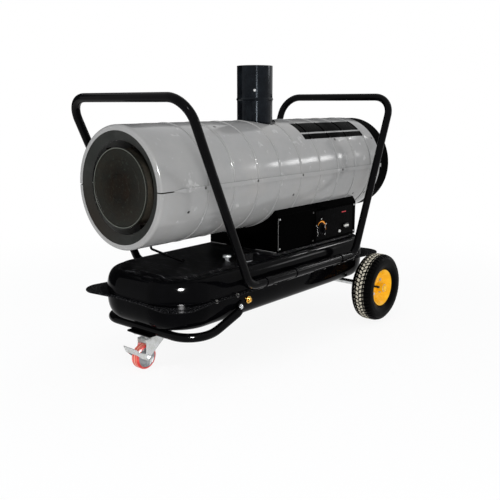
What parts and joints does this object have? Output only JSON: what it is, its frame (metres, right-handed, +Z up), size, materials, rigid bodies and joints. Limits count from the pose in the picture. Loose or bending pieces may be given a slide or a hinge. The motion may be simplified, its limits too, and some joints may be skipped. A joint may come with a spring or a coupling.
{
  "type": "indirect diesel forced air heater",
  "caption": "Wheeled diesel air heater with a ribbed grey barrel, flue, flat black fuel tank, bent tube handles, orange rims and a braked swivel caster.",
  "frame": {"origin": "on the floor under the middle of the overall box", "axes": "+X from the hot air outlet to the air intake, +Y away from the control panel, +Z up"},
  "size_m": [1.285, 0.687, 0.96],
  "materials": {
    "barrel_grey": "satin grey paint",
    "gloss_black": "gloss black paint",
    "tube_black": "gloss black paint on tube and strap",
    "flue_black": "glossy black heat-proof enamel",
    "heat_stained": "heat-stained dark finish",
    "chamber_steel": "heat-dulled stainless sheet",
    "motor_grey": "satin grey paint",
    "cast_alloy": "cast alloy",
    "copper_line": "drawn copper line",
    "zinc": "zinc plated",
    "brass": "machined brass",
    "rim_orange": "gloss orange paint",
    "tyre_black": "black tyre rubber",
    "caster_red": "red polyurethane tread",
    "hub_grey": "grey moulded plastic",
    "bush_nylon": "natural nylon",
    "black_plastic": "black moulded plastic",
    "switch_white": "white moulded plastic",
    "lamp_lens": "pale lens",
    "dial_black": "black front plate"
  },
  "bodies": {
    "chassis": {"tank_lower_shell": "gloss_black", "tank_upper_shell": "gloss_black", "filler_neck": "zinc", "fuel_strainer": "zinc", "drain_plug": "brass", "front_frame_tube": "tube_black", "front_handle": "tube_black", "rear_handle": "tube_black", "left_front_clip": "tube_black", "left_joint_clip": "tube_black", "left_rear_clip": "tube_black", "right_front_clip": "tube_black", "right_joint_clip": "tube_black", "right_rear_clip": "tube_black", "wheel_axle": "zinc", "axle_bracket": "tube_black", "left_axle_cap": "zinc", "right_axle_cap": "zinc", "upper_shell": "barrel_grey", "lower_shell": "barrel_grey", "outlet_cone": "tube_black", "combustion_chamber": "chamber_steel", "chamber_front_disc": "heat_stained", "front_chamber_support": "chamber_steel", "rear_chamber_support": "chamber_steel", "flue_collar": "flue_black", "flue_pipe": "flue_black", "burner_tube": "chamber_steel", "oil_nozzle": "brass", "motor_bracket": "zinc", "fan_motor": "motor_grey", "fuel_pump": "cast_alloy", "feed_line": "copper_line", "nozzle_line": "copper_line", "ignition_transformer": "motor_grey", "rear_ring": "tube_black", "fan_guard": "tube_black", "control_box": "gloss_black", "control_panel": "gloss_black", "dial_plate": "dial_black", "power_lamp": "lamp_lens", "cable_gland": "black_plastic", "front_stay_rod": "zinc", "caster_plate": "zinc"},
    "fuel_cap": {"fuel_cap": "black_plastic"},
    "left_wheel": {"left_tyre": "tyre_black", "left_rim": "rim_orange", "left_hub_bush": "bush_nylon"},
    "right_wheel": {"right_tyre": "tyre_black", "right_rim": "rim_orange", "right_hub_bush": "bush_nylon"},
    "fan_rotor": {"fan": "cast_alloy", "motor_shaft": "zinc"},
    "thermostat_knob": {"thermostat_knob": "black_plastic"},
    "power_switch": {"power_switch": "switch_white"},
    "caster_swivel": {"caster_fork": "zinc", "caster_axle": "zinc"},
    "caster_wheel": {"caster_tyre": "caster_red", "caster_hub": "hub_grey"},
    "caster_brake": {"caster_brake": "zinc"}
  },
  "joints": [
    {"name": "cap_lift", "type": "slide", "parent": "chassis", "child": "fuel_cap", "axis": [0, 0, 1], "range_m": [0, 0.06]},
    {"name": "left_wheel_spin", "type": "hinge", "parent": "chassis", "child": "left_wheel", "pos_m": [0.3725, -0.3, 0.13], "axis": [0, 1, 0], "continuous": true},
    {"name": "right_wheel_spin", "type": "hinge", "parent": "chassis", "child": "right_wheel", "pos_m": [0.3725, 0.3, 0.13], "axis": [0, 1, 0], "continuous": true},
    {"name": "fan_spin", "type": "hinge", "parent": "chassis", "child": "fan_rotor", "pos_m": [0.5175, 0, 0.585], "axis": [1, 0, 0], "continuous": true},
    {"name": "thermostat_turn", "type": "hinge", "parent": "chassis", "child": "thermostat_knob", "pos_m": [0.1885, -0.1634, 0.37], "axis": [0, 1, 0], "range_deg": [-135, 135]},
    {"name": "switch_rock", "type": "hinge", "parent": "chassis", "child": "power_switch", "pos_m": [0.3545, -0.1634, 0.361], "axis": [0, 0, 1], "range_deg": [-8, 8]},
    {"name": "caster_turn", "type": "hinge", "parent": "chassis", "child": "caster_swivel", "pos_m": [-0.5325, 0, 0.1], "axis": [0, 0, 1], "continuous": true},
    {"name": "caster_wheel_spin", "type": "hinge", "parent": "caster_swivel", "child": "caster_wheel", "pos_m": [-0.5645, 0, 0.04], "axis": [0, 1, 0], "continuous": true},
    {"name": "brake_pedal_turn", "type": "hinge", "parent": "caster_swivel", "child": "caster_brake", "pos_m": [-0.5645, 0, 0.04], "axis": [0, 1, 0], "range_deg": [-8, 8]}
  ]
}
